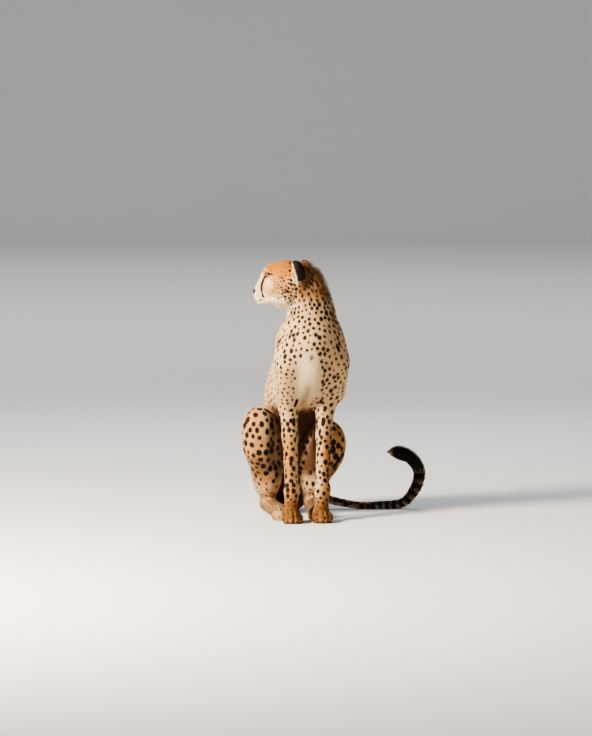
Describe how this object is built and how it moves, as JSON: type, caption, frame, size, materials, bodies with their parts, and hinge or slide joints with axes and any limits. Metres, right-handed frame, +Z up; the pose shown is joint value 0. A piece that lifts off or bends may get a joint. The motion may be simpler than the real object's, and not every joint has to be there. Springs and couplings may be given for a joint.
{
  "type": "cheetah",
  "caption": "Life-size still model of a young adult cheetah sitting upright, head turned over its right shoulder, tail laid round to its left with the tip curled up",
  "frame": {"origin": "centre of the bounding box's bottom face, on the floor that the paws, seat and tail rest on", "axes": "+Z up; the chest faces -Y; the animal's left side is +X"},
  "size_m": [0.7092, 0.6302, 0.9205],
  "materials": {
    "coat": "short tan fur with solid black spots, white below, black ear backs and tail tip",
    "nose_leather": "bare black nose leather, slightly moist",
    "eye": "wet amber-brown eye with a round dark pupil",
    "claw": "dark brown horn, worn blunt"
  },
  "bodies": {
    "root": {"head": "coat", "nose": "nose_leather", "eye_left": "eye", "eye_right": "eye", "ear_left": "coat", "ear_right": "coat", "neck": "coat", "trunk": "coat", "foreleg_left": "coat", "foreleg_right": "coat", "hindleg_left": "coat", "hindleg_right": "coat", "tail_base": "coat", "tail_middle": "coat", "tail_curl": "coat", "tail_tip": "coat", "forepaw_left_claw_1": "claw", "forepaw_left_claw_2": "claw", "forepaw_left_claw_3": "claw", "forepaw_left_claw_4": "claw", "forepaw_right_claw_1": "claw", "forepaw_right_claw_2": "claw", "forepaw_right_claw_3": "claw", "forepaw_right_claw_4": "claw", "hindpaw_left_claw_1": "claw", "hindpaw_left_claw_2": "claw", "hindpaw_left_claw_3": "claw", "hindpaw_left_claw_4": "claw", "hindpaw_right_claw_1": "claw", "hindpaw_right_claw_2": "claw", "hindpaw_right_claw_3": "claw", "hindpaw_right_claw_4": "claw"}
  },
  "joints": []
}
